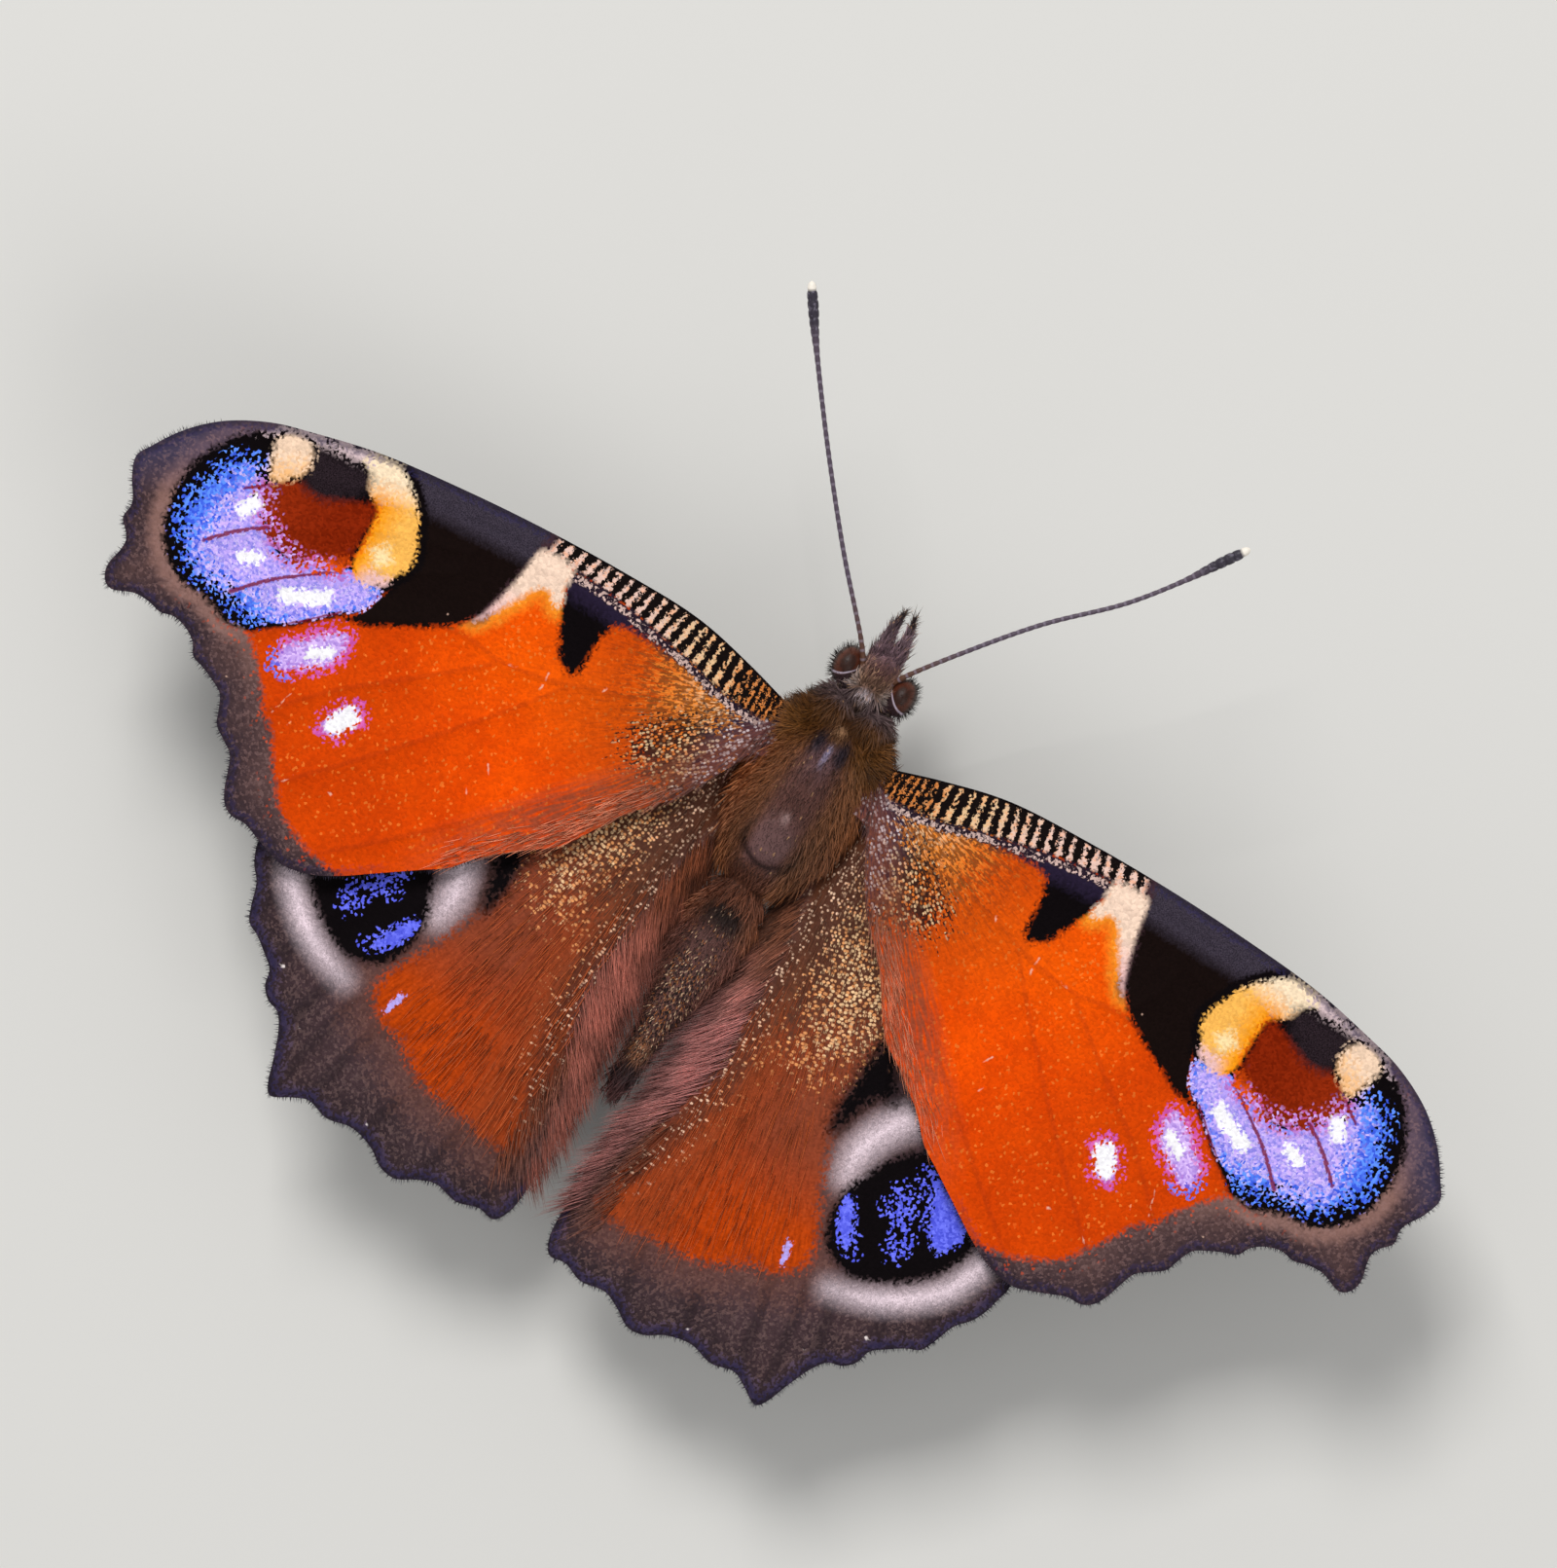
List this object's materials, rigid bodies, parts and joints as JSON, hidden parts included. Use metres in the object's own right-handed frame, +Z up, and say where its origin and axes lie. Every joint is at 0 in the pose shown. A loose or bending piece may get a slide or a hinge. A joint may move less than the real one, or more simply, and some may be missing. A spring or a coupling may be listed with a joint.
{
  "type": "peacock butterfly",
  "caption": "Peacock butterfly standing with its eyespotted wings spread flat: a still, life-size model with separate head, eyes, feelers, trunk, wings and legs.",
  "frame": {"origin": "middle of the outline seen from above, on the ground that the feet stand on", "axes": "+Z up, +Y the way the head faces, +X the insect's own right"},
  "size_m": [0.0668, 0.044, 0.0125],
  "materials": {
    "forewing_scales": "matt rust-orange scales with black, cream, yellow and blue-violet eyespot",
    "hindwing_scales": "matt rust-brown scales with grey border and black and blue eyespot",
    "body_hair": "soft brown hair with a golden sheen at the sides",
    "dark_hair": "short blackish brown hair and scales",
    "eye": "dark red-brown, finely faceted and glossy",
    "feeler": "grey-violet, finely ringed, with a dark club and cream tip",
    "leg": "brown scales and short hair",
    "feeding_tube": "dark brown, smooth and horny"
  },
  "bodies": {
    "root": {"thorax": "body_hair", "abdomen": "dark_hair", "head": "dark_hair", "eye_right": "eye", "eye_left": "eye", "palp_right": "dark_hair", "palp_left": "dark_hair", "proboscis": "feeding_tube", "antenna_right": "feeler", "antenna_left": "feeler", "forewing_right": "forewing_scales", "forewing_left": "forewing_scales", "hindwing_right": "hindwing_scales", "hindwing_left": "hindwing_scales", "foreleg_right": "leg", "foreleg_left": "leg", "midleg_right": "leg", "midleg_left": "leg", "hindleg_right": "leg", "hindleg_left": "leg"}
  },
  "joints": []
}
